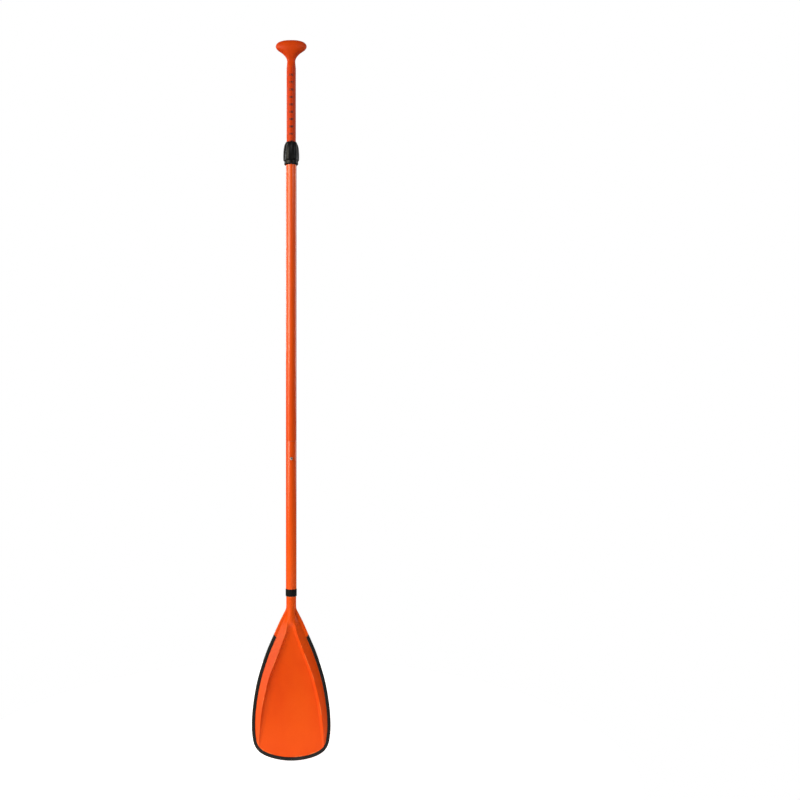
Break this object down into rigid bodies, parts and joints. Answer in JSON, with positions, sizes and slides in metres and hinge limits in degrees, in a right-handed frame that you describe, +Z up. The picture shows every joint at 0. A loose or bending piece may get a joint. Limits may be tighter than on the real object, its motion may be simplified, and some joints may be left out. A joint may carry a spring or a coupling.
{
  "type": "stand-up paddle with adjustable shaft",
  "caption": "Single-blade paddle with a ribbed blade, rubber edge guard, snap-button joint, twist-lock telescopic shaft and palm grip.",
  "frame": {"origin": "on the shaft's axis at the hold on the middle tube, one metre above the blade's tip", "axes": "+Z up the shaft towards the grip, +X across the blade, -Y to the front, the side with the blade's ribs, the snap button and the length scale"},
  "size_m": [0.2102, 0.1002, 1.9296],
  "materials": {
    "blade_orange": "moulded orange plastic, satin gloss",
    "grip_orange": "moulded red-orange plastic, satin gloss",
    "shaft_orange": "gloss orange paint on drawn tube",
    "upper_orange": "gloss red-orange paint on drawn tube, printed length scale",
    "black_plastic": "fine-grained black nylon",
    "guard_rubber": "satin black rubber",
    "seal_rubber": "smooth black rubber",
    "collet_nylon": "dark grey nylon",
    "guide_nylon": "natural white nylon",
    "foam_grey": "closed-cell foam",
    "bare_aluminium": "plain drawn aluminium",
    "polished_steel": "polished stainless steel",
    "spring_steel": "rolled spring strip"
  },
  "bodies": {
    "shaft": {"blade": "blade_orange", "edge_guard": "guard_rubber", "blade_collar": "black_plastic", "blade_pins": "bare_aluminium", "lower_tube": "shaft_orange", "lower_foam_plug": "foam_grey", "spigot": "bare_aluminium", "seam_ring": "seal_rubber", "button_spring": "spring_steel", "middle_tube": "shaft_orange", "middle_foam_plug": "foam_grey", "lock_base": "black_plastic", "lock_ring": "seal_rubber", "collet": "collet_nylon"},
    "lock_barrel": {"lock_barrel": "black_plastic", "wiper_ring": "seal_rubber"},
    "slider": {"guide_plug": "guide_nylon"},
    "handle": {"upper_tube": "upper_orange", "upper_foam_plug": "foam_grey", "t_grip": "grip_orange"},
    "button": {"snap_button": "polished_steel"}
  },
  "joints": [
    {"name": "height_slide", "type": "slide", "parent": "shaft", "child": "slider", "axis": [0, 0, 1], "range_m": [-0.18, 0.22]},
    {"name": "grip_swivel", "type": "hinge", "parent": "slider", "child": "handle", "pos_m": [0, 0, 0.25], "axis": [0, 0, 1], "continuous": true},
    {"name": "lock_twist", "type": "hinge", "parent": "shaft", "child": "lock_barrel", "pos_m": [0, 0, 0.592], "axis": [0, 0, 1], "range_deg": [0, 120]},
    {"name": "button_press", "type": "slide", "parent": "shaft", "child": "button", "axis": [0, 1, 0], "range_m": [0, 0.0078], "stiffness_N_per_m": 1500, "springref_m": -0.004, "deforming": ["button_spring"]}
  ]
}
